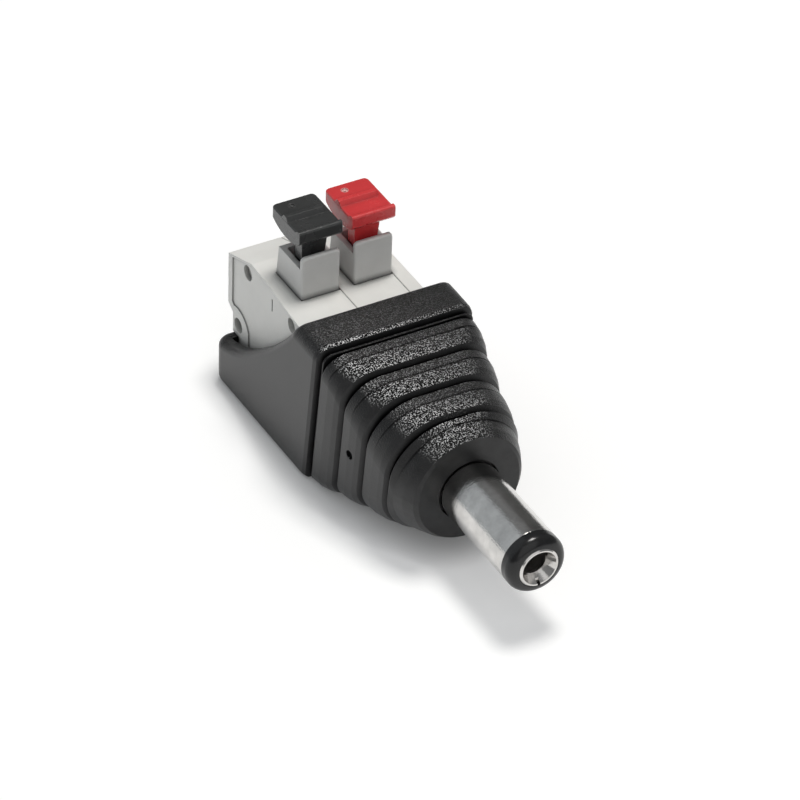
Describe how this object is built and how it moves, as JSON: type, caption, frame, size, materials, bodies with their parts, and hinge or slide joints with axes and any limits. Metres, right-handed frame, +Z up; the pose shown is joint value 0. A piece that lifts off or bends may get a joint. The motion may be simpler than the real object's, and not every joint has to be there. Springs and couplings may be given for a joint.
{
  "type": "dc barrel plug with screwless push-lever terminal block",
  "caption": "DC power barrel plug in a ringed black boot that holds an off-white push-lever terminal block with a black and a red lever.",
  "frame": {"origin": "on the barrel's axis, 1.5 mm in front of the flat nose face where the barrel leaves the boot", "axes": "+Z up, the plug points to -Y, the block with its wire entries is at +Y, the red pole is at +X"},
  "size_m": [0.0152, 0.0442, 0.0205],
  "materials": {
    "boot_pvc": "satin, finely grained",
    "core_plastic": "satin",
    "nickel_plate": "bright nickel plate",
    "insulator_plastic": "gloss",
    "tinned_brass": "tin plate",
    "lead_black_pvc": "satin",
    "lead_red_pvc": "satin",
    "housing_offwhite": "satin",
    "guide_grey": "satin",
    "lever_black_plastic": "satin",
    "lever_red_plastic": "satin",
    "spring_steel": "bright"
  },
  "bodies": {
    "connector": {"boot": "boot_pvc", "plug_core": "core_plastic", "barrel_sleeve": "nickel_plate", "barrel_insulator": "insulator_plastic", "centre_contact": "nickel_plate", "sleeve_lug": "tinned_brass", "centre_lug": "tinned_brass", "lead_black": "lead_black_pvc", "lead_red": "lead_red_pvc", "housing_black": "housing_offwhite", "housing_red": "housing_offwhite", "end_plate": "housing_offwhite", "guide_black": "guide_grey", "guide_red": "guide_grey", "clamp_spring_black": "spring_steel", "clamp_spring_red": "spring_steel", "busbar_black": "tinned_brass", "busbar_red": "tinned_brass"},
    "lever_black": {"lever_black": "lever_black_plastic"},
    "lever_red": {"lever_red": "lever_red_plastic"}
  },
  "joints": [
    {"name": "lever_black_press", "type": "hinge", "parent": "connector", "child": "lever_black", "pos_m": [-0.00254, 0.02475, 0.0044], "axis": [-1, 0, 0], "range_deg": [0, 13], "stiffness_Nm_per_rad": 0.1, "springref_deg": -11.46, "deforming": ["clamp_spring_black"]},
    {"name": "lever_red_press", "type": "hinge", "parent": "connector", "child": "lever_red", "pos_m": [0.00254, 0.02475, 0.0044], "axis": [-1, 0, 0], "range_deg": [0, 13], "stiffness_Nm_per_rad": 0.1, "springref_deg": -11.46, "deforming": ["clamp_spring_red"]}
  ]
}
